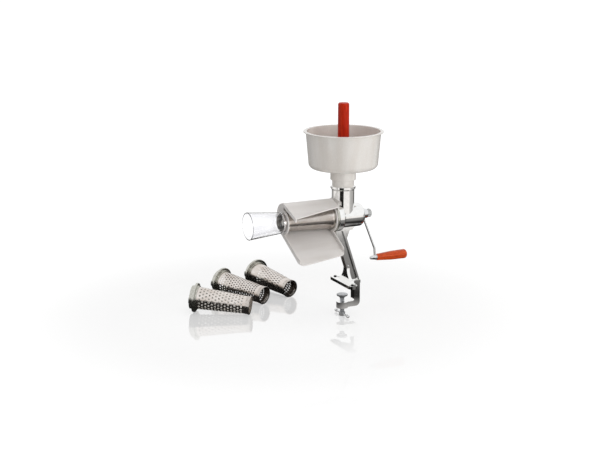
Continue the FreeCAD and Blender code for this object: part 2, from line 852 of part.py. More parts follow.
def crank_arm():
    """The bent rod from the hub to the eye that carries the grip's bolt."""
    body = new_body("crank_arm")
    path = new_sketch(body, XZ)
    low = "rod_radius - crank_radius"
    stops = [
        (HUB_MIDDLE, "-rod_start"),
        (HUB_MIDDLE, "-hub_radius - rod_elbow_drop", "rod_elbow"),
        (HUB_MIDDLE + " + rod_offset", "-bend_reach", "rod_bend"),
        (HUB_MIDDLE + " + rod_offset", low),
    ]
    points = [FreeCAD.Vector(value(p[0]), value(p[1]), 0) for p in stops]
    cuts = [corner_cut(points[i - 1], points[i], points[i + 1], value(stops[i][2])) for i in (1, 2)]
    path.addGeometry(Part.LineSegment(points[0], cuts[0][0]), False)
    path.addGeometry(Part.LineSegment(cuts[0][2], cuts[1][0]), False)
    path.addGeometry(Part.LineSegment(cuts[1][2], points[3]), False)
    tie_point(path, 0, 1, stops[0][0], stops[0][1], "0")
    tie_point(path, 2, 2, stops[3][0], stops[3][1], "3")
    for i in (1, 2):
        tip = add_rounding(path, cuts[i - 1], points[i], (i - 1, i), stops[i][2], str(i))
        tie_point(path, tip, 1, stops[i][0], stops[i][1], str(i))
    profile = ring_sketch(body, XY, "rod_radius", (HUB_MIDDLE, "0"), ("0", "0", "-rod_start"))
    rod = body.newObject("PartDesign::AdditivePipe", "crank_rod")
    rod.Profile = profile
    rod.Spine = (path, ["Edge1", "Edge2", "Edge3", "Edge4", "Edge5"])
    at_pin = ("0", "-crank_radius")
    padded(body, ring_sketch(body, YZ, "eye_radius", at_pin, ("0", "0", EYE_FACE)), "eye_thickness")
    seat = "washer_radius + clear_gap"
    pocketed(body, ring_sketch(body, YZ, seat, at_pin, ("0", "0", EYE_FACE)), "rod_radius")
    outer_seat = ring_sketch(body, YZ, seat, at_pin, ("0", "0", EYE_FACE + " + eye_thickness"))
    pocketed(body, outer_seat, "rod_radius", back=True)
    hole = ring_sketch(body, YZ, "spindle_radius + running_gap", at_pin, ("0", "0", EYE_FACE + " - past"))
    pocketed(body, hole, "eye_thickness + 2 * past", back=True)
    return swung(body)


def crank_thumb_nut():
    """The knob that screws on the shaft and holds the crank, with finger flutes."""
    body = new_body("crank_thumb_nut")
    start = "(barrel_back + hub_gap + hub_length)"
    turned(body, outline(body, XZ, [
        (start, "thread_radius + running_gap"),
        (start, "knob_radius - knob_step", "small_edge"),
        (start + " + knob_collar", "knob_radius", "small_edge"),
        (start + " + knob_length", "knob_radius", "knob_round"),
        (start + " + knob_length", "0"),
        (start + " + knob_length - knob_cap", "0"),
        (start + " + knob_length - knob_cap", "thread_radius + running_gap"),
    ]), ABOUT_X)
    centre = ("0", "knob_radius + knob_flute - flute_depth")
    flute = pocketed(body, ring_sketch(body, YZ, "knob_flute", centre, ("0", "0", start + " - past")),
                     "knob_length + 2 * past", back=True)
    pattern = body.newObject("PartDesign::PolarPattern", "knob_flutes")
    pattern.Originals = [flute]
    pattern.Axis = (flute.Profile[0], ["N_Axis"])
    pattern.Angle = 360
    bind(pattern, "Occurrences", "flute_count")
    body.Tip = pattern
    return swung(body)


def on_pin(label, corners):
    """A crank piece turned about the grip's bolt."""
    body = new_body(label)
    turned(body, outline(body, XZ, corners, ("0", "-crank_radius", "0")), ABOUT_X)
    return swung(body)


GRIP_FACE = "(" + EYE_FACE + " + eye_thickness + washer_thickness + grip_play)"


def grip_washer():
    return on_pin("grip_washer", [
        (EYE_FACE + " + eye_thickness", "spindle_radius + running_gap"),
        (EYE_FACE + " + eye_thickness", "washer_radius"),
        (EYE_FACE + " + eye_thickness + washer_thickness", "washer_radius"),
        (EYE_FACE + " + eye_thickness + washer_thickness", "spindle_radius + running_gap"),
    ])


def grip_nut():
    """The domed nut on the arm's inner side."""
    body = new_body("grip_nut")
    down = ("0", "-crank_radius", "0")
    turned(body, outline(body, XZ, [
        (EYE_FACE + " - nut_length", "0"),
        (EYE_FACE + " - nut_length", "nut_flat - dome_inset", "dome_round"),
        (EYE_FACE + " - nut_flat", "nut_flat - dome_inset"),
        (EYE_FACE + " - nut_flat", "0"),
    ], down), ABOUT_X)
    side = "(nut_flat * 2 / sqrt(3))"
    hexagon = [
        (side, "-crank_radius"),
        (side + " / 2", "nut_flat - crank_radius"),
        ("-" + side + " / 2", "nut_flat - crank_radius"),
        ("-" + side, "-crank_radius"),
        ("-" + side + " / 2", "-nut_flat - crank_radius"),
        (side + " / 2", "-nut_flat - crank_radius"),
    ]
    padded(body, outline(body, YZ, hexagon, shift=("0", "0", EYE_FACE + " - nut_flat")), "nut_flat")
    bore = ring_sketch(body, YZ, "spindle_radius + running_gap", ("0", "-crank_radius"), ("0", "0", EYE_FACE))
    pocketed(body, bore, "nut_length - dome_wall")
    return swung(body)


def grip_spindle():
    """The bolt that the grip spins on, with its head sunk in the grip's far end."""
    end = EYE_FACE + " - nut_length + dome_wall + clear_gap"
    head = GRIP_FACE + " + grip_length - head_depth + grip_play"
    return on_pin("grip_spindle", [
        (end, "0"),
        (end, "spindle_radius", "fine_edge"),
        (head, "spindle_radius"),
        (head, "head_radius"),
        (head + " + head_thickness", "head_radius", "small_edge"),
        (head + " + head_thickness", "0"),
    ])


def grip():
    """The lacquered grip, slim at the arm and full at the far end."""
    return on_pin("grip", [
        (GRIP_FACE, "grip_bore"),
        (GRIP_FACE, "grip_inner_radius", "grip_inner_round"),
        (GRIP_FACE + " + grip_length / 2", "grip_outer_radius - grip_waist", "grip_curve"),
        (GRIP_FACE + " + grip_length", "grip_outer_radius", "grip_outer_radius - head_radius - grip_flat"),
        (GRIP_FACE + " + grip_length", "head_radius + head_gap"),
        (GRIP_FACE + " + grip_length - head_depth", "head_radius + head_gap"),
        (GRIP_FACE + " + grip_length - head_depth", "grip_bore"),
    ])


def hopper():
    """The moulded bowl with an out-turned lip and a stepped neck that plugs into the tube."""
    base = "(rim_height - hopper_depth)"
    floor = "(rim_height - hopper_depth - hopper_base_fall)"
    return turned_piece("hopper", XZ, ABOUT_Z, [
        ("neck_bore", "tube_top_height - spigot_length"),
        ("tube_bore - 2 * running_gap", "tube_top_height - spigot_length", "fine_edge"),
        ("tube_bore - 2 * running_gap", "tube_top_height"),
        ("neck_radius", "tube_top_height"),
        ("neck_radius", "neck_upper_height"),
        ("neck_upper_radius", "neck_upper_height", "small_edge"),
        ("neck_upper_radius", floor),
        ("hopper_base_radius", base, "hopper_corner"),
        ("hopper_top_radius", "rim_height - hopper_lip", "lip_fillet"),
        ("hopper_rim_radius", "rim_height - hopper_lip", "lip_edge"),
        ("hopper_rim_radius", "rim_height", "lip_edge"),
        ("hopper_top_radius - hopper_wall", "rim_height", "small_edge"),
        ("hopper_base_radius - hopper_wall", base + " + hopper_wall", "hopper_corner - hopper_wall"),
        ("neck_bore", floor + " + hopper_wall", "soft_edge"),
    ])


def plunger():
    """The pusher, standing on the tube's ledge: a tapered stem above a foot that fills the tube."""
    return turned_piece("plunger", XZ, ABOUT_Z, [
        ("0", LEDGE),
        ("plunger_foot_radius", LEDGE, "foot_edge"),
        ("plunger_foot_radius", LEDGE + " + plunger_foot_height", "soft_edge"),
        ("plunger_radius_low", LEDGE + " + plunger_foot_height + foot_taper", "foot_fillet"),
        ("plunger_radius_top", "plunger_top_height - plunger_edge"),
        ("plunger_radius_top - plunger_edge", "plunger_top_height"),
        ("0", "plunger_top_height"),
    ])


RIM_FRONT = "(collar_front + flange_thickness)"
STEP_FRONT = "(collar_front + flange_thickness + step_length)"
CONE_START = "(collar_front + flange_thickness + cone_seat)"
RING_END = "(cone_end - ring_seat + end_ring_length)"
SCREEN_NAMES = ("cone", "flange", "end_ring")


def screen_cone(label):
    """The perforated sheet's plain cone."""
    return turned_piece(label, XZ, ABOUT_X, [
        ("-" + CONE_START, "cone_wide - sheet"),
        ("-" + CONE_START, "cone_wide"),
        ("-cone_end", "cone_small"),
        ("-cone_end", "cone_small - sheet"),
    ])


def screen_flange(label):
    """The cast rim: a step that holds the cone, the rim, and a spigot with two bayonet lugs."""
    body = new_body(label)
    spigot = "(mouth_bore - 2 * running_gap)"
    turned(body, outline(body, XZ, [
        ("-" + STEP_FRONT, "cone_wide + running_gap"),
        ("-" + STEP_FRONT, "step_radius", "fine_edge"),
        ("-" + RIM_FRONT, "step_radius"),
        ("-" + RIM_FRONT, "flange_radius", "small_edge"),
        ("-collar_front", "flange_radius", "small_edge"),
        ("-collar_front", spigot),
        (LUG_BACK, spigot, "fine_edge"),
        (LUG_BACK, "mouth_bore - spigot_wall"),
        ("-" + CONE_START, "mouth_bore - spigot_wall"),
        ("-" + CONE_START, "cone_wide + running_gap"),
    ]), ABOUT_X)
    for turn in TURNS_OF_LUGS:
        lug = outline(body, XZ, [
            (LUG_BACK + " - lug_width", spigot + " - sunk"),
            (LUG_BACK + " - lug_width", "mouth_bore + lug_height"),
            (LUG_BACK, "mouth_bore + lug_height"),
            (LUG_BACK, spigot + " - sunk"),
        ], turn=turn + 90)
        turn_feature(body, "PartDesign::Revolution", lug, ABOUT_X, "lug_angle")
    return body


def screen_end_ring(label):
    """The band round the cone's small end, with a bead that the waste funnel snaps over."""
    return turned_piece(label, XZ, ABOUT_X, [
        ("ring_seat - cone_end", "ring_bore"),
        ("ring_seat - cone_end", "end_ring_radius"),
        ("-(" + RING_END + " - bead_width)", "end_ring_radius"),
        ("-(" + RING_END + " - bead_width)", "bead_radius", "fine_edge"),
        ("-" + RING_END, "bead_radius", "fine_edge"),
        ("-" + RING_END, "cone_small - sheet"),
        ("-cone_end", "cone_small - sheet"),
        ("-cone_end", "ring_bore"),
    ])


MAKERS = {"cone": screen_cone, "flange": screen_flange, "end_ring": screen_end_ring}


def fitted_screen(name):
    """One piece of the screen that sits on the barrel."""
    return place(MAKERS[name]("screen_" + name), z="axis_height")


def spare_screen(hole_size, name):
    """One piece of a spare screen, lying on its rim and its bead beside the machine."""
    piece = MAKERS[name]("spare_" + hole_size + "_" + name)
    length = value(RING_END + " - " + RIM_FRONT)
    tilt = math.atan2(value("flange_radius - bead_radius"), length)
    heading = math.radians(value(hole_size + "_turn"))
    floor = -value(BOSS_LOW + " + screw_rest_drop + screw_head_height")
    rim_x = value(hole_size + "_x") - math.cos(heading) * length / 2
    rim_y = value(hole_size + "_y") - math.sin(heading) * length / 2
    spot = FreeCAD.Vector(rim_x, rim_y, floor + value("flange_radius") * math.cos(tilt))
    facing = FreeCAD.Rotation(FreeCAD.Vector(0, 0, 1), math.degrees(heading) + 180)
    dipped = FreeCAD.Rotation(FreeCAD.Vector(0, 1, 0), -math.degrees(tilt))
    from_rim = FreeCAD.Placement(FreeCAD.Vector(value(RIM_FRONT), 0, 0), FreeCAD.Rotation())
    piece.Placement = FreeCAD.Placement(spot, facing.multiply(dipped)).multiply(from_rim)
    return piece


def roof_line(across, below="0"):
    """Height of the chute's roof at a place across, measured some way below its outside."""
    rise = "(" + across + ") * tan(roof_slope)"
    return "roof_over_axis + " + rise + " - (" + below + ") / cos(roof_slope)"


def floor_line(across, above="0"):
    """Height of the chute's floor at a place across, measured some way above its outside."""
    rise = "(" + across + ") * tan(floor_slope)"
    return "-floor_under_axis + " + rise + " + (" + above + ") / cos(floor_slope)"


def chute():
    """The one-piece chute: roof, rounded back and sloping floor, with a plate at each end."""
    body = new_body("chute")
    back = "chute_back"
    inside = "(chute_back - chute_wall)"
    start = ("0", "0", "-chute_front")
    padded(body, outline(body, YZ, [
        ("-roof_front", roof_line("-roof_front")),
        (back, roof_line(back), back),
        (back, floor_line(back), back),
        ("-floor_front", floor_line("-floor_front")),
        ("-floor_front", floor_line("-floor_front", "chute_wall")),
        (inside, floor_line(inside, "chute_wall"), inside),
        (inside, roof_line(inside, "chute_wall"), inside),
        ("-roof_front", roof_line("-roof_front", "chute_wall")),
    ], start), "chute_front - " + RIM_FRONT)
    ends = (("-chute_front", "ring_radius"), ("-" + RIM_FRONT + " - end_plate", "ring_radius_near"))
    for place_x, ring in ends:
        shift = ("0", "0", place_x)
        padded(body, ring_sketch(body, YZ, ring, shift=shift), "end_plate")
        padded(body, outline(body, YZ, [
            ("0", roof_line("0")),
            (back, roof_line(back), back),
            (back, floor_line(back), back),
            ("0", floor_line("0")),
        ], shift), "end_plate")
        padded(body, outline(body, YZ, [
            ("-roof_front", roof_line("-roof_front")),
            ("sunk", roof_line("sunk")),
            ("sunk", roof_line("sunk", "eave_drop")),
            ("-roof_front", roof_line("-roof_front", "eave_drop")),
        ], shift), "end_plate")
        padded(body, outline(body, YZ, [
            ("-floor_front", floor_line("-floor_front")),
            ("sunk", floor_line("sunk")),
            ("sunk", floor_line("sunk", "side_rise")),
            ("-floor_front", floor_line("-floor_front", "side_rise")),
        ], shift), "end_plate")
    trim_chute(body)
    before_far = ("0", "0", "-chute_front - past")
    far_hole = ring_sketch(body, YZ, "end_ring_radius + clear_gap / 2", shift=before_far)
    pocketed(body, far_hole, "end_plate + 2 * past", back=True)
    behind_near = ("0", "0", "past - " + RIM_FRONT)
    near_hole = ring_sketch(body, YZ, "step_radius + clear_gap / 2", shift=behind_near)
    pocketed(body, near_hole, "end_plate + 2 * past")
    return place(body, z="axis_height")


def trim_chute(body):
    """Cuts the roof and the floor's lip back towards the barrel and rounds the lip's corners."""
    far = "-chute_front"
    near = "-" + RIM_FRONT
    pocketed(body, outline(body, XY, [
        (far, "-roof_front"),
        (near, "-roof_front_near"),
        (near, "-roof_front - trim_reach"),
        (far, "-roof_front - trim_reach"),
    ]), "3 * chute_back", back=True)
    pocketed(body, outline(body, XY, [
        (far + " - trim_reach", "-roof_front_near"),
        (far, "-roof_front_near"),
        (far, "-floor_front", "lip_corner"),
        (near, "-floor_front_near", "lip_corner"),
        (near, "-roof_front_near"),
        (near + " + trim_reach", "-roof_front_near"),
        (near + " + trim_reach", "-floor_front - trim_reach"),
        (far + " - trim_reach", "-floor_front - trim_reach"),
    ]), "4 * floor_under_axis")


def waste_funnel():
    """The clear funnel that plugs over the screen's bead and lets skins and seeds out."""
    socket_end = "(funnel_start + funnel_socket_length)"
    mouth_end = "(funnel_start + funnel_length)"
    slip = "(bead_radius + running_gap)"
    funnel = turned_piece("waste_funnel", XZ, ABOUT_X, [
        ("-funnel_start", slip),
        ("-funnel_start", slip + " + funnel_wall", "fine_edge"),
        ("-" + socket_end, slip + " + funnel_wall + funnel_flare"),
        ("-" + mouth_end, "funnel_mouth", "funnel_edge"),
        ("-" + mouth_end, "funnel_mouth - funnel_wall", "funnel_edge"),
        ("-" + socket_end + " - funnel_step", "cone_small"),
        ("-" + socket_end, "cone_small - sheet + funnel_slack"),
        ("-" + socket_end, slip),
    ])
    return place(funnel, z="axis_height")


HEAD_TOP = "(" + BOSS_LOW + " + screw_rest_drop)"


def clamp_pad():
    """The swivel pad that presses up under the table."""
    low = "(pad_top_depth + pad_thickness)"
    return turned_piece("clamp_pad", XZ, ABOUT_Z, [
        ("0", "-pad_top_depth"),
        ("pad_radius", "-pad_top_depth", "small_edge"),
        ("pad_radius", "-" + low, "soft_edge"),
        ("pad_hub_radius", "-" + low),
        ("pad_hub_radius", "-" + low + " - pad_hub_drop"),
        ("tip_radius + running_gap", "-" + low + " - pad_hub_drop"),
        ("tip_radius + running_gap", "pad_socket - " + low),
        ("0", "pad_socket - " + low),
    ])


def clamp_screw():
    """The clamp's screw: tip in the pad, plain thread cylinder, head bored for the bar."""
    body = new_body("clamp_screw")
    low = "(pad_top_depth + pad_thickness)"
    turned(body, outline(body, XZ, [
        ("0", "pad_socket - clear_gap - " + low),
        ("tip_radius", "pad_socket - clear_gap - " + low, "small_edge"),
        ("tip_radius", "-" + low + " - pad_hub_drop - clear_gap"),
        ("screw_radius", "-" + low + " - pad_hub_drop - clear_gap"),
        ("screw_radius", "-" + HEAD_TOP),
        ("screw_head_radius", "-" + HEAD_TOP, "small_edge"),
        ("screw_head_radius", "-" + HEAD_TOP + " - screw_head_height", "small_edge"),
        ("0", "-" + HEAD_TOP + " - screw_head_height"),
    ]), ABOUT_Z)
    head_middle = "-" + HEAD_TOP + " - screw_head_height / 2"
    beside = ("0", "0", "-screw_head_radius - past")
    bore = ring_sketch(body, XZ, "tommy_radius + running_gap", ("0", head_middle), beside)
    pocketed(body, bore, "2 * (screw_head_radius + past)", back=True)
    return body


def clamp_tommy_bar():
    """The sliding bar through the screw's head, with a ball end on each side."""
    end = "(tommy_half + tommy_knob)"
    neck = "(tommy_half - tommy_knob)"
    bar = turned_piece("clamp_tommy_bar", YZ, ABOUT_X, [
        ("-" + end, "0"),
        ("-" + end, "tommy_knob", "tommy_knob - tommy_flat"),
        ("-" + neck, "tommy_knob", "small_edge"),
        ("-" + neck, "tommy_radius"),
        (neck, "tommy_radius"),
        (neck, "tommy_knob", "small_edge"),
        (end, "tommy_knob", "tommy_knob - tommy_flat"),
        (end, "0"),
    ])
    return place(bar, z="-" + HEAD_TOP + " - screw_head_height / 2")


keep(body_casting())
keep(jaw_stud("jaw_stud_front", "-ear_spread"))
keep(jaw_stud("jaw_stud_rear", "ear_spread"))
for maker in (shaft_bush, spiral_auger, drive_shaft, thrust_washer, shaft_seal, crank_hub, crank_arm,
              crank_thumb_nut, grip_washer, grip_nut, grip_spindle, grip, hopper, plunger, chute,
              waste_funnel, clamp_pad, clamp_screw, clamp_tommy_bar):
    keep(maker())
for part_name in SCREEN_NAMES:
    keep(fitted_screen(part_name))
for hole_size in ("coarse", "medium", "fine"):
    for part_name in SCREEN_NAMES:
        keep(spare_screen(hole_size, part_name))

doc.recompute()
for thing in doc.Objects:
    if "Invalid" in thing.State or "Error" in thing.State:
        raise RuntimeError("not built: " + thing.Name)
os.makedirs("parts", exist_ok=True)
for label, piece in PIECES.items():
    if piece.Shape.isNull() or not piece.Shape.isValid() or len(piece.Shape.Solids) != 1:
        raise RuntimeError("bad shape: " + label)
    piece.Shape.exportStep("parts/" + label + ".step")
    print(label, round(piece.Shape.Volume / 1000, 2), "cm3")
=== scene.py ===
"""A hand cranked tomato strainer on its table clamp, with three spare screens lying beside it."""
import math

import bmesh
import bpy
import numpy as np
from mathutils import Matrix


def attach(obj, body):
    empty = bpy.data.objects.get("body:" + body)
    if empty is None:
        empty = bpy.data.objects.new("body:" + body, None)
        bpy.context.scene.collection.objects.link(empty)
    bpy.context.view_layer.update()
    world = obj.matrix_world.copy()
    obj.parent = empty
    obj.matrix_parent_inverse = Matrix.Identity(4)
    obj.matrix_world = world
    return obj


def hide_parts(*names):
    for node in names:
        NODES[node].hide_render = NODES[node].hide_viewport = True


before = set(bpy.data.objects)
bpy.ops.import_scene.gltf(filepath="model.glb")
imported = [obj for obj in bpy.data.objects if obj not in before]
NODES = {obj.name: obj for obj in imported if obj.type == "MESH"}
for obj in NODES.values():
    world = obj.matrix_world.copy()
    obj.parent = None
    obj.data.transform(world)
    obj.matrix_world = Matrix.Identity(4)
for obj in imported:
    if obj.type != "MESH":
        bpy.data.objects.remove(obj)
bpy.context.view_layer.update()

# A millimetre in metres, then the heights of the floor, at the clamp screw's foot, and of the barrel's axis
MM = 0.001
FLOOR_Z = -0.0835
AXIS_Z = 0.179

# Camera: where it stands in metres, how far it looks down and which way it faces in degrees, and its lens
CAMERA_AT = (-1.4998, -2.8288, 0.9315)
CAMERA_DOWN = 13.64
CAMERA_TURN = -26.0
CAMERA_LENS = 78.2

camera_data = bpy.data.cameras.new("camera")
camera_data.lens = CAMERA_LENS
camera = bpy.data.objects.new("camera", camera_data)
camera.location = CAMERA_AT
camera.rotation_euler = (math.radians(90 - CAMERA_DOWN), 0, math.radians(CAMERA_TURN))
bpy.context.scene.collection.objects.link(camera)
bpy.context.scene.camera = camera
bpy.context.scene.view_settings.view_transform = "Standard"


def linear(code):
    """The linear colour of an sRGB hex value, with full alpha."""
    parts = [int(code[k:k + 2], 16) / 255 for k in (1, 3, 5)]
    return [p / 12.92 if p <= 0.04045 else ((p + 0.055) / 1.055) ** 2.4 for p in parts] + [1.0]


def grey(level):
    """A neutral colour of one linear level, with full alpha."""
    return [level, level, level, 1.0]


def add(tree, kind, settings=None, **inputs):
    """One node with its settings and its inputs, each a value or another node's output."""
    node = tree.nodes.new(kind)
    for name, what in (settings or {}).items():
        setattr(node, name, what)
    for name, what in inputs.items():
        socket = node.inputs[int(name[1:])] if name[1:].isdigit() else node.inputs[name.replace("_", " ")]
        if isinstance(what, bpy.types.NodeSocket):
            tree.links.new(what, socket)
        else:
            socket.default_value = what
    return node


# Noise values crowd round one half, so each use of them is drawn out from a narrow range
CLOUD_RANGE = (0.35, 0.65)
FLECK_RANGE = (0.48, 0.68)
GRAIN_RANGE = (0.3, 0.7)


def finish(name, first, second, cloud, grain, rough, depth, stretch=(1, 1, 1), fleck=None, wave=None,
           lie=False, **shader):
    """A material of one Principled shader, whose patterns are sized in millimetres.

    Clouds of noise, cloud across, blend the first colour with the second. A finer noise, grain across,
    swings the roughness between two numbers and lifts a bump of the given depth. stretch draws both out
    along the axes. fleck is a third colour and its share where the grain is strong, wave is the size and
    depth of a slow unevenness, and lie reads the sheet's own directions instead of the object's. What is
    left over goes to the shader's inputs of those names.
    """
    material = bpy.data.materials.new(name)
    material.use_nodes = True
    tree = material.node_tree
    tree.nodes.clear()
    if lie:
        place = add(tree, "ShaderNodeAttribute", {"attribute_name": "lie"}).outputs["Vector"]
    else:
        place = add(tree, "ShaderNodeTexCoord").outputs["Object"]
    drawn = add(tree, "ShaderNodeMapping", None, Vector=place, Scale=[1 / s for s in stretch]).outputs[0]
    clouds = add(tree, "ShaderNodeTexNoise", None, Vector=drawn, Scale=1 / (cloud * MM)).outputs["Fac"]
    grains = add(tree, "ShaderNodeTexNoise", None, Vector=drawn, Scale=1 / (grain * MM),
                 Detail=3.0).outputs["Fac"]
    blend = add(tree, "ShaderNodeMapRange", None, Value=clouds, i1=CLOUD_RANGE[0], i2=CLOUD_RANGE[1], i3=0.0,
                i4=1.0)
    colour = add(tree, "ShaderNodeMix", {"data_type": "RGBA"}, i0=blend.outputs[0], i6=linear(first),
                 i7=linear(second)).outputs[2]
    if fleck:
        share = add(tree, "ShaderNodeMapRange", None, Value=grains, i1=FLECK_RANGE[0], i2=FLECK_RANGE[1],
                    i3=0.0, i4=fleck[1])
        colour = add(tree, "ShaderNodeMix", {"data_type": "RGBA"}, i0=share.outputs[0], i6=colour,
                     i7=linear(fleck[0])).outputs[2]
    dull = add(tree, "ShaderNodeMapRange", None, Value=grains, i1=GRAIN_RANGE[0], i2=GRAIN_RANGE[1],
               i3=rough[0], i4=rough[1])
    bump = add(tree, "ShaderNodeBump", None, Height=grains, Strength=1.0, Distance=depth * MM)
    if wave:
        slow = add(tree, "ShaderNodeTexNoise", None, Vector=drawn, Scale=1 / (wave[0] * MM), Detail=1.0)
        bump = add(tree, "ShaderNodeBump", None, Height=slow.outputs["Fac"], Normal=bump.outputs[0],
                   Strength=1.0, Distance=wave[1] * MM)
    surface = add(tree, "ShaderNodeBsdfPrincipled", None, Base_Color=colour, Roughness=dull.outputs[0],
                  Normal=bump.outputs[0], **shader)
    add(tree, "ShaderNodeOutputMaterial", None, Surface=surface.outputs[0])
    return material


# Polished cast aluminium: a smooth casting buffed bright, with soft waves left from the mould
CASTING = finish("polished_cast_aluminium", "#F1F1F0", "#F7F7F6", 9, 2.2, (0.05, 0.13), 0.004,
                 wave=(24, 0.05), Metallic=1.0)
# Turned cast alloy: duller and greener than the body, with turning marks and a few dark pores
ALLOY = finish("turned_cast_alloy", "#BCBBB3", "#D3D2CB", 6, 0.9, (0.2, 0.32), 0.012, fleck=("#85867D", 0.5),
               Metallic=1.0)
# Rolled stainless sheet: a warm grey, with fine lines drawn along the cone
SHEET = finish("rolled_stainless_sheet", "#CFC5BD", "#E4DED9", 9, 0.8, (0.14, 0.26), 0.008, (5, 1, 1),
               lie=True, Metallic=1.0)
# Its unpolished inside and the walls of its holes: duller, with the punch's burr, and darker as a painted
# shade
PUNCHED = finish("stainless_inside_painted_shade", "#5C544D", "#746A62", 4, 0.7, (0.4, 0.55), 0.02, lie=True,
                 Metallic=1.0)
# The same on the coarse screen, whose wide holes let light in: a painted light, bright and matt
PICKLED = finish("stainless_inside_painted_light", "#E6E2DC", "#F2EFEA", 4, 0.7, (0.5, 0.65), 0.02, lie=True,
                 Metallic=0.2)
# Spun stainless rings: as the sheet, but worked round, so without its lines
SPUN = finish("spun_stainless_ring", "#B9B1AA", "#CFC9C4", 5, 1.1, (0.14, 0.28), 0.008, Metallic=1.0)
# Chrome plate on steel: a near mirror with a slight orange peel and thin haze
CHROME = finish("bright_chrome_plate", "#DCDDDE", "#E8E9EA", 7, 2.0, (0.04, 0.12), 0.005, Metallic=1.0)
# Zinc plate on steel: a cool grey, cloudy from the plating bath
ZINC = finish("clear_zinc_plate", "#A8AAAD", "#C2C4C6", 5, 1.0, (0.22, 0.36), 0.01, fleck=("#8A8C90", 0.4),
              Metallic=1.0)
# Glossy moulded ABS: warm white, with slow flow marks and a very fine grain from the mould
IVORY = finish("glossy_ivory_abs", "#E0DAD3", "#E8E4DF", 26, 1.2, (0.2, 0.3), 0.006, (1, 1, 5),
               wave=(30, 0.05), IOR=1.5, Coat_Weight=0.6, Coat_Roughness=0.06)
# Satin moulded ABS: the same white, a little pinker and less shiny, with flow marks along the chute
SATIN = finish("satin_ivory_abs", "#E2DDD9", "#EAE6E3", 30, 1.4, (0.34, 0.44), 0.012, (4, 1, 1), IOR=1.5,
               Coat_Weight=0.15, Coat_Roughness=0.2)
# Red polypropylene: opaque and slightly waxy, with darker flow lines along its length
RED = finish("red_polypropylene", "#B82004", "#CC2E08", 4, 1.1, (0.3, 0.4), 0.01, (1, 1, 14),
             fleck=("#8A1402", 0.6), IOR=1.49, Specular_IOR_Level=0.2)
# Natural nylon: off-white, waxy, with a faint mottle
NYLON = finish("natural_nylon", "#D6D2C8", "#E2DFD6", 8, 1.2, (0.38, 0.5), 0.01, IOR=1.53)
# Grey ABS: moulded with a fine spark texture
GREY = finish("grey_abs", "#B4B5B4", "#C6C7C6", 7, 0.8, (0.3, 0.42), 0.015, IOR=1.5, Coat_Weight=0.1)
# Clear polystyrene: see-through, with bright thick edges and a trace of flow haze
CLEAR = finish("clear_polystyrene", "#F6F6F8", "#FBFBFC", 14, 3.0, (0.01, 0.05), 0.0005, (4, 1, 1), IOR=1.59,
               Transmission_Weight=1.0)
# Lacquered beech: stained orange-red, with short dark flecks along the grain under a wet shine
LACQUER = finish("lacquered_beech", "#BC3C04", "#D6520A", 5, 1.2, (0.28, 0.4), 0.02, (10, 1, 1),
                 fleck=("#942A04", 0.6), IOR=1.5, Specular_IOR_Level=0.3, Coat_Weight=0.25,
                 Coat_Roughness=0.08)
# Moulded rubber: deep grey and dull, with a dusty bloom
RUBBER = finish("moulded_rubber", "#1B1B1C", "#2C2B2B", 3, 0.9, (0.62, 0.82), 0.02, IOR=1.52)

DRESS = {
    "body_casting": CASTING, "jaw_stud_front": RUBBER, "jaw_stud_rear": RUBBER, "shaft_seal": RUBBER,
    "shaft_bush": NYLON, "thrust_washer": NYLON, "spiral_auger": NYLON, "drive_shaft": ZINC,
    "crank_hub": CHROME, "crank_arm": CHROME, "crank_thumb_nut": GREY, "grip_washer": CHROME,
    "grip_nut": CHROME, "grip_spindle": CHROME, "grip": LACQUER, "hopper": IVORY, "plunger": RED,
    "chute": SATIN, "waste_funnel": CLEAR, "clamp_pad": ZINC, "clamp_screw": ZINC,
    "clamp_tommy_bar": CHROME,
}
for screen in ("screen", "spare_coarse", "spare_medium", "spare_fine"):
    DRESS[screen + "_cone"] = SPUN
    DRESS[screen + "_flange"] = ALLOY
    DRESS[screen + "_end_ring"] = SPUN


def dress(piece, material):
    """Gives a piece its one material."""
    piece.data.materials.clear()
    piece.data.materials.append(material)


for node_name, material in DRESS.items():
    dress(NODES[node_name], material)


# Points of one piece that are nearer than this are welded, in millimetres
WELD = 0.002


def new_piece(name, points, faces, materials, crease=35, own=None, slots=None):
    """A mesh from arrays of points and faces, welded, closed and facing outwards, with its materials.

    Edges that turn more than crease degrees are sharp. own is a start point and three directions: each
    point's place along them is kept as its lie. slots gives each face the number of its material.
    """
    mesh = bpy.data.meshes.new(name)
    mesh.from_pydata(points.tolist(), [], faces.tolist())
    for material in materials:
        mesh.materials.append(material)
    if slots is not None:
        mesh.polygons.foreach_set("material_index", slots)
    made = bmesh.new()
    made.from_mesh(mesh)
    bmesh.ops.remove_doubles(made, verts=made.verts, dist=WELD * MM)
    bmesh.ops.recalc_face_normals(made, faces=made.faces)
    made.to_mesh(mesh)
    made.free()
    mesh.shade_smooth()
    mesh.set_sharp_from_angle(angle=math.radians(crease))
    if own:
        places = np.empty(len(mesh.vertices) * 3)
        mesh.vertices.foreach_get("co", places)
        lies = (places.reshape(-1, 3) - own[0]) @ np.array(own[1:]).T
        mesh.attributes.new("lie", "FLOAT_VECTOR", "POINT").data.foreach_set("vector", lies.ravel())
    piece = bpy.data.objects.new(name, mesh)
    bpy.context.scene.collection.objects.link(piece)
    return piece


# A screen's cone in millimetres: its outside radius at both ends, its length and its sheet
WIDE = 29
SMALL = 22.5
LENGTH = 132
SHEET_THICK = 1
# Where it sits: the barrel's collar, the flange against it and the cone's step in from the flange's face
COLLAR_FRONT = 26
FLANGE = 6
CONE_SEAT = 2
# What a spare screen lies on: its flange's rim and its end ring's bead, and how far they are apart
RIM_RADIUS = 38
BEAD_RADIUS = 24.2
LYING_LENGTH = 142


def cone_radius(along):
    """The sheet's outside radius: it falls evenly from the wide end to the small one."""
    return WIDE + (SMALL - WIDE) * along / LENGTH


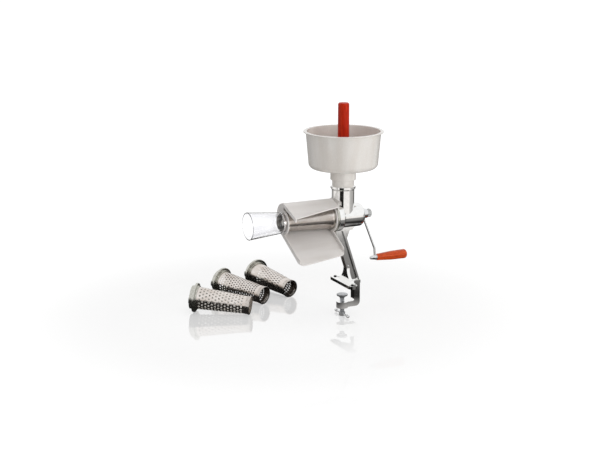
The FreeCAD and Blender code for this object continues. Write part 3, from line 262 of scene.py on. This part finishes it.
def fitted_frame():
    """The wide end's centre, the axis direction and two directions across it, for the fitted screen."""
    start = np.array([-(COLLAR_FRONT + FLANGE + CONE_SEAT) * MM, 0, AXIS_Z])
    return start, np.array([-1.0, 0, 0]), np.array([0, 0, 1.0]), np.array([0, 1.0, 0])


def lying_frame(x, y, turn):
    """The same for a spare screen that lies on its rim and its bead, from its middle and its turn."""
    heading = math.radians(turn)
    tilt = math.atan2(RIM_RADIUS - BEAD_RADIUS, LYING_LENGTH)
    flat = np.array([math.cos(heading), math.sin(heading), 0])
    along = flat * math.cos(tilt) - np.array([0, 0, math.sin(tilt)])
    rim = np.array([x, y, 0]) * MM - flat * LYING_LENGTH / 2 * MM
    rim[2] = FLOOR_Z + RIM_RADIUS * math.cos(tilt) * MM
    side = np.array([-flat[1], flat[0], 0])
    return rim + along * CONE_SEAT * MM, along, np.cross(along, side), side


# How quickly a slot's outline leaves its middle for one of its two round ends
SLOT_SNAP = 3


def perforated_cone(name, frame_of, round_count, ring_count, plain, hole, slot, edge_points, inside=PUNCHED):
    """A cone of thin sheet punched with staggered rings of holes, between a plain band at each end.

    Each hole has a cell of the unrolled sheet: its outline is a square with edge_points steps a side, and
    its hole is a circle of the same number of steps, drawn out along the axis by the slot's half length.
    A point at distance t along and angle a around is start + t * along + r(t) * (cos a * up + sin a * side),
    where r falls evenly from the wide end to the small end, and the inside is the sheet's thickness less.
    The outside is bright sheet, and the holes' walls and the inside are of the inside material,
    which, unless another is given, is darkened by a painted shade.
    """
    start, along, up, side = frame_of
    steps = np.arange(4 * edge_points)
    part = (steps % edge_points) / edge_points
    across = np.choose(steps // edge_points, [part - 0.5, 0 * part + 0.5, 0.5 - part, 0 * part - 0.5])
    down = np.choose(steps // edge_points, [0 * part - 0.5, part - 0.5, 0 * part + 0.5, 0.5 - part])
    ring_pitch = (LENGTH - plain[0] - plain[1]) / ring_count
    middle_pitch = 2 * math.pi * cone_radius(LENGTH / 2) / round_count
    facing = np.arctan2(down * ring_pitch, across * middle_pitch)
    ring, column = [g.ravel()[:, None] for g in np.mgrid[0:ring_count, 0:round_count]]
    cell_turn = (column + 0.5 * (ring % 2)) * 2 * math.pi / round_count
    cell_at = plain[0] + (ring + 0.5) * ring_pitch
    edge_turn = cell_turn + across * 2 * math.pi / round_count
    edge_at = cell_at + down * ring_pitch
    hole_turn = cell_turn + hole * np.cos(facing) / cone_radius(cell_at)
    hole_at = cell_at + hole * np.sin(facing) + slot * np.clip(SLOT_SNAP * np.sin(facing), -1, 1)

    def on_cone(turn, at, inward):
        """Points of the outside, or of the inside, one sheet's thickness in."""
        radius = (cone_radius(at) - inward)[..., None] * MM
        spin = np.cos(turn)[..., None] * up + np.sin(turn)[..., None] * side
        return start + at[..., None] * MM * along + radius * spin

    layers = [on_cone(edge_turn, edge_at, 0), on_cone(hole_turn, hole_at, 0),
              on_cone(hole_turn, hole_at, SHEET_THICK), on_cone(edge_turn, edge_at, SHEET_THICK)]
    points = np.stack(layers, axis=1).reshape(-1, 3)
    count = len(steps)
    base = np.arange(ring_count * round_count)[:, None] * 4 * count
    here = steps[None, :]
    after = (here + 1) % count
    faces = [np.stack([base + k * count + here, base + k * count + after, base + (k + 1) * count + after,
                       base + (k + 1) * count + here], axis=-1).reshape(-1, 4) for k in range(3)]
    slots = [np.full(len(group), k > 0) for k, group in enumerate(faces)]
    total = round_count * edge_points
    turns = (np.arange(total + 1) % total) * 2 * math.pi / total
    for punched_end, free_end in ((plain[0], 0), (LENGTH - plain[1], LENGTH)):
        stations = [(punched_end, 0), (free_end, 0), (free_end, SHEET_THICK), (punched_end, SHEET_THICK)]
        offset = len(points)
        rows = [on_cone(turns, np.full(total + 1, float(at)), inward) for at, inward in stations]
        points = np.concatenate([points] + rows)
        row, col = [g.ravel() for g in np.mgrid[0:3, 0:total]]
        corner = offset + row * (total + 1) + col
        faces.append(np.stack([corner, corner + 1, corner + total + 2, corner + total + 1], axis=-1))
        slots.append(row == 2)
    return new_piece(name, points, np.concatenate(faces), (SHEET, inside), crease=50, own=frame_of,
                     slots=np.concatenate(slots).astype(np.int32))


# Each screen: body, frame, holes round, rings, plain bands, hole radius, slot half length, steps a side and,
# if its inside isn't the one with painted shade, that inside: the coarse one's has painted light.
# A lying frame takes the middle in millimetres and the turn in degrees.
# Finer holes are really 1 to 1.5 mm across, too fine to show, so all but the coarse ones are drawn coarser.
SCREENS = {
    "screen": ("screen_unit", fitted_frame(), 56, 38, (9, 9), 0.85, 0, 2),
    "spare_coarse": ("spare_coarse_screen", lying_frame(-265.5, 149.7, -36), 18, 14, (6, 8), 2.6, 0, 4,
                     PICKLED),
    "spare_medium": ("spare_medium_screen", lying_frame(-172.5, 235.9, -62), 23, 16, (8, 9), 2.25, 0, 3),
    "spare_fine": ("spare_fine_screen", lying_frame(-68.8, 269.7, -75), 24, 9, (27, 15), 1.05, 2.8, 4),
}
for screen, (body, frame_of, *holes) in SCREENS.items():
    sheet_piece = perforated_cone(screen + "_perforated", frame_of, *holes)
    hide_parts(screen + "_cone")
    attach(sheet_piece, body)


# Clamp screw in millimetres: height and radius of each corner of its tip, its thread, and its head's corners
TIP_CORNERS = [(-28.9, 0), (-28.9, 2.9), (-29.9, 3.9), (-34.9, 3.9), (-34.9, 5.6)]
SCREW_RADIUS = 6
THREAD_TOP = -35.2
THREAD_LOW = -71.5
THREAD_PITCH = 3
THREAD_DEPTH = 1.1
HEAD_CORNERS = [(-72.5, 5.0), (-72.5, 7.2), (-73.3, 8), (-82.7, 8), (-83.5, 7.2), (-83.5, 0)]
# How steep the groove's walls are and how flat its crest is, then its steps in a turn and along the thread
GROOVE_SLOPE = 2.6
GROOVE_CREST = 0.2
TURN_STEPS = 48
THREAD_STEPS = 240


def threaded_screw():
    """The clamp's screw: a turned outline whose middle is threaded.

    The radius at height z and angle a is the outside less the thread's depth times a groove, which is the
    slope times the distance of z / pitch + a / 2 pi from a whole number, less the crest, kept from 0 to 1.
    """
    turns = np.linspace(0, 2 * math.pi, TURN_STEPS + 1)
    heights = np.linspace(THREAD_TOP, THREAD_LOW, THREAD_STEPS + 1)
    phase = heights[:, None] / THREAD_PITCH + turns / (2 * math.pi)
    groove = np.clip(GROOVE_SLOPE * np.abs(phase - np.round(phase)) - GROOVE_CREST, 0, 1)
    rows = [(z, np.full_like(turns, r)) for z, r in TIP_CORNERS]
    rows += list(zip(heights, SCREW_RADIUS - THREAD_DEPTH * groove))
    rows += [(z, np.full_like(turns, r)) for z, r in HEAD_CORNERS]
    points = np.array([np.stack([r * np.cos(turns), r * np.sin(turns), np.full_like(turns, z)], axis=-1)
                       for z, r in rows]).reshape(-1, 3) * MM
    row, col = [g.ravel() for g in np.mgrid[0:len(rows) - 1, 0:len(turns) - 1]]
    corner = row * len(turns) + col
    faces = np.stack([corner, corner + 1, corner + len(turns) + 1, corner + len(turns)], axis=-1)
    return new_piece("threaded_clamp_screw", points, faces, (ZINC,))


screw = threaded_screw()
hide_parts("clamp_screw")
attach(screw, "screw")


# Studio: a floor, a world and five lamps. What polished metal sees is painted on the floor, and stays there
# whatever the view: a level by the distance from DARK_CENTRE in metres, times one by the turn from the
# studio's front in degrees, to the right, with a dark strip before the feed tube and grey sides, and a light
# pool round the clamp's foot.
FRONT_TURN = math.radians(-26)
FORWARD = (-math.sin(FRONT_TURN), math.cos(FRONT_TURN), 0)
RIGHT = (math.cos(FRONT_TURN), math.sin(FRONT_TURN), 0)
NEAR_LEVELS = [(0.36, 0.03), (0.5, 0.2), (0.95, 0.3), (1.1, 1.0)]
NEAR_REACH = 2.0
TURN_LEVELS = [(-180, 0.3), (-125, 0.35), (-100, 0.9), (-75, 1.0), (-68, 0.45), (-52, 0.5), (-44, 1.0),
               (-36, 0.9), (-32, 0.015), (4, 0.015), (8, 0.95), (60, 1.0), (80, 0.5), (122, 0.4), (132, 0.1),
               (148, 0.1), (165, 0.3), (180, 0.3)]
DARK_CENTRE = (-0.1, 0.08, FLOOR_Z)
FOOT_CENTRE = (0.02, -0.02, FLOOR_Z)
MIRROR_CENTRE = (-0.22, 0.1, FLOOR_Z)
# Each fall is two distances from its centre and the floor's values there: the share of white in what the
# camera sees, the share of mirror under the spare screens, and the pool's level
WHITE_FALL = (0.35, 1.1, 0.58, 1.0)
MIRROR_FALL = (0.2, 0.42, 0.3, 0.03)
POOL_FALL = (0.05, 0.18, 0.42, 0.0)
FLOOR_GLOW = 1.15
SKY_LIGHT = 0.42


def floor_fall(tree, place, centre, fall):
    """A value that passes smoothly from one level to another between two distances from a centre."""
    away = add(tree, "ShaderNodeVectorMath", {"operation": "DISTANCE"}, i0=place, i1=centre)
    passed = add(tree, "ShaderNodeMapRange", {"interpolation_type": "SMOOTHSTEP"},
                 Value=away.outputs["Value"], i1=fall[0], i2=fall[1], i3=fall[2], i4=fall[3])
    return passed.outputs[0]


def floor_seen(tree, place, path):
    """What the camera sees: a floor near white with the object's shadow, and the screens mirrored in it."""
    lit = add(tree, "ShaderNodeBsdfDiffuse", None, Color=grey(0.9))
    glow = add(tree, "ShaderNodeEmission", None, Color=grey(1.0), Strength=FLOOR_GLOW)
    lifted = add(tree, "ShaderNodeMixShader", None, i0=floor_fall(tree, place, DARK_CENTRE, WHITE_FALL),
                 i1=lit.outputs[0], i2=glow.outputs[0])
    mirror = add(tree, "ShaderNodeBsdfGlossy", None, Color=grey(1.0), Roughness=0.03)
    polished = add(tree, "ShaderNodeMixShader", None, i0=floor_fall(tree, place, MIRROR_CENTRE, MIRROR_FALL),
                   i1=lifted.outputs[0], i2=mirror.outputs[0])
    clear = add(tree, "ShaderNodeMath", {"operation": "MAXIMUM"}, i0=path.outputs["Is Camera Ray"],
                i1=path.outputs["Is Transmission Ray"])
    seen = add(tree, "ShaderNodeMixShader", None, i0=clear.outputs[0], i1=lit.outputs[0],
               i2=polished.outputs[0])
    return seen.outputs[0]


def floor_mirrored(tree, place):
    """What polished metal sees: the level by distance times that by turn, or the pool where it's lighter."""
    away = add(tree, "ShaderNodeVectorMath", {"operation": "DISTANCE"}, i0=place, i1=DARK_CENTRE)
    reach = add(tree, "ShaderNodeMath", {"operation": "DIVIDE"}, i0=away.outputs["Value"], i1=NEAR_REACH)
    near = add(tree, "ShaderNodeValToRGB", None, Fac=reach.outputs[0])
    ahead = add(tree, "ShaderNodeVectorMath", {"operation": "DOT_PRODUCT"}, i0=place,
                i1=[-f for f in FORWARD])
    aside = add(tree, "ShaderNodeVectorMath", {"operation": "DOT_PRODUCT"}, i0=place, i1=RIGHT)
    turn = add(tree, "ShaderNodeMath", {"operation": "ARCTAN2"}, i0=aside.outputs["Value"],
               i1=ahead.outputs["Value"])
    share = add(tree, "ShaderNodeMapRange", None, Value=turn.outputs[0], i1=-math.pi, i2=math.pi, i3=0.0,
                i4=1.0)
    around = add(tree, "ShaderNodeValToRGB", None, Fac=share.outputs[0])
    stops = {near: [(metres / NEAR_REACH, level) for metres, level in NEAR_LEVELS],
             around: [((degrees + 180) / 360, level) for degrees, level in TURN_LEVELS]}
    for ramp, wanted in stops.items():
        points = ramp.color_ramp.elements
        while len(points) < len(wanted):
            points.new(0.5)
        for point, (where, level) in zip(points, wanted):
            point.position = where
            point.color = grey(level)
    painted = add(tree, "ShaderNodeMath", {"operation": "MULTIPLY"}, i0=near.outputs[0], i1=around.outputs[0])
    pooled = add(tree, "ShaderNodeMath", {"operation": "MAXIMUM"}, i0=painted.outputs[0],
                 i1=floor_fall(tree, place, FOOT_CENTRE, POOL_FALL))
    shown = add(tree, "ShaderNodeEmission", None, Color=linear("#FDFAF7"), Strength=pooled.outputs[0])
    return shown.outputs[0]


def floor_material():
    """A pale glossy floor: one look for rays bounced off polished metal and one for the rest."""
    material = bpy.data.materials.new("pale_floor")
    material.use_nodes = True
    tree = material.node_tree
    tree.nodes.clear()
    path = add(tree, "ShaderNodeLightPath")
    place = add(tree, "ShaderNodeTexCoord").outputs["Object"]
    bounced = add(tree, "ShaderNodeMath", {"operation": "SUBTRACT", "use_clamp": True},
                  i0=path.outputs["Is Glossy Ray"], i1=path.outputs["Is Transmission Ray"])
    both = add(tree, "ShaderNodeMixShader", None, i0=bounced.outputs[0], i1=floor_seen(tree, place, path),
               i2=floor_mirrored(tree, place))
    add(tree, "ShaderNodeOutputMaterial", None, Surface=both.outputs[0])
    return material


# The floor runs this far each way, in metres
REACH = 12
floor_mesh = bpy.data.meshes.new("floor")
floor_mesh.from_pydata([(-REACH, -REACH, FLOOR_Z), (REACH, -REACH, FLOOR_Z), (REACH, REACH, FLOOR_Z),
                        (-REACH, REACH, FLOOR_Z)], [], [(0, 1, 2, 3)])
floor = bpy.data.objects.new("floor", floor_mesh)
bpy.context.scene.collection.objects.link(floor)
dress(floor, floor_material())

# The world is white where it's seen, mirrored or seen through, and soft grey where it only lights
world = bpy.data.worlds.new("studio")
bpy.context.scene.world = world
world.use_nodes = True
sky = world.node_tree
sky.nodes.clear()
ray = add(sky, "ShaderNodeLightPath")
direct = add(sky, "ShaderNodeMath", {"operation": "MAXIMUM"}, i0=ray.outputs["Is Camera Ray"],
             i1=ray.outputs["Is Glossy Ray"])
plain = add(sky, "ShaderNodeMath", {"operation": "MAXIMUM"}, i0=direct.outputs[0],
            i1=ray.outputs["Is Transmission Ray"])
soft = add(sky, "ShaderNodeBackground", None, Color=grey(1.0), Strength=SKY_LIGHT)
white = add(sky, "ShaderNodeBackground", None, Color=grey(1.0), Strength=1.0)
shown = add(sky, "ShaderNodeMixShader", None, i0=plain.outputs[0], i1=soft.outputs[0], i2=white.outputs[0])
add(sky, "ShaderNodeOutputWorld", None, Surface=shown.outputs[0])


def lamp(name, at, aim, size, power):
    """A square soft box that stands at one point and faces another, and isn't mirrored in floor or metal."""
    data = bpy.data.lights.new(name, "AREA")
    data.size = size
    data.energy = power
    box = bpy.data.objects.new(name, data)
    box.location = at
    toward = np.array(aim) - np.array(at)
    across = math.hypot(toward[0], toward[1])
    box.rotation_euler = (math.atan2(across, -toward[2]), 0, math.atan2(toward[1], toward[0]) - math.pi / 2)
    box.visible_glossy = False
    bpy.context.scene.collection.objects.link(box)


# Each lamp: where it stands in metres, what it faces, its side in metres and its power in watts
MIDDLE = (-0.05, 0.05, 0.18)
lamp("overhead_box", (-0.1, -0.3, 2.0), MIDDLE, 1.6, 9)
lamp("front_box", (0.5, -2.3, 0.5), MIDDLE, 1.0, 16)
lamp("right_box", (1.9, -1.2, 0.9), MIDDLE, 1.0, 8)
lamp("left_fill", (-2.0, -0.6, 0.9), MIDDLE, 1.2, 2)
lamp("back_fill", (0.3, 2.4, 0.8), MIDDLE, 1.4, 9)
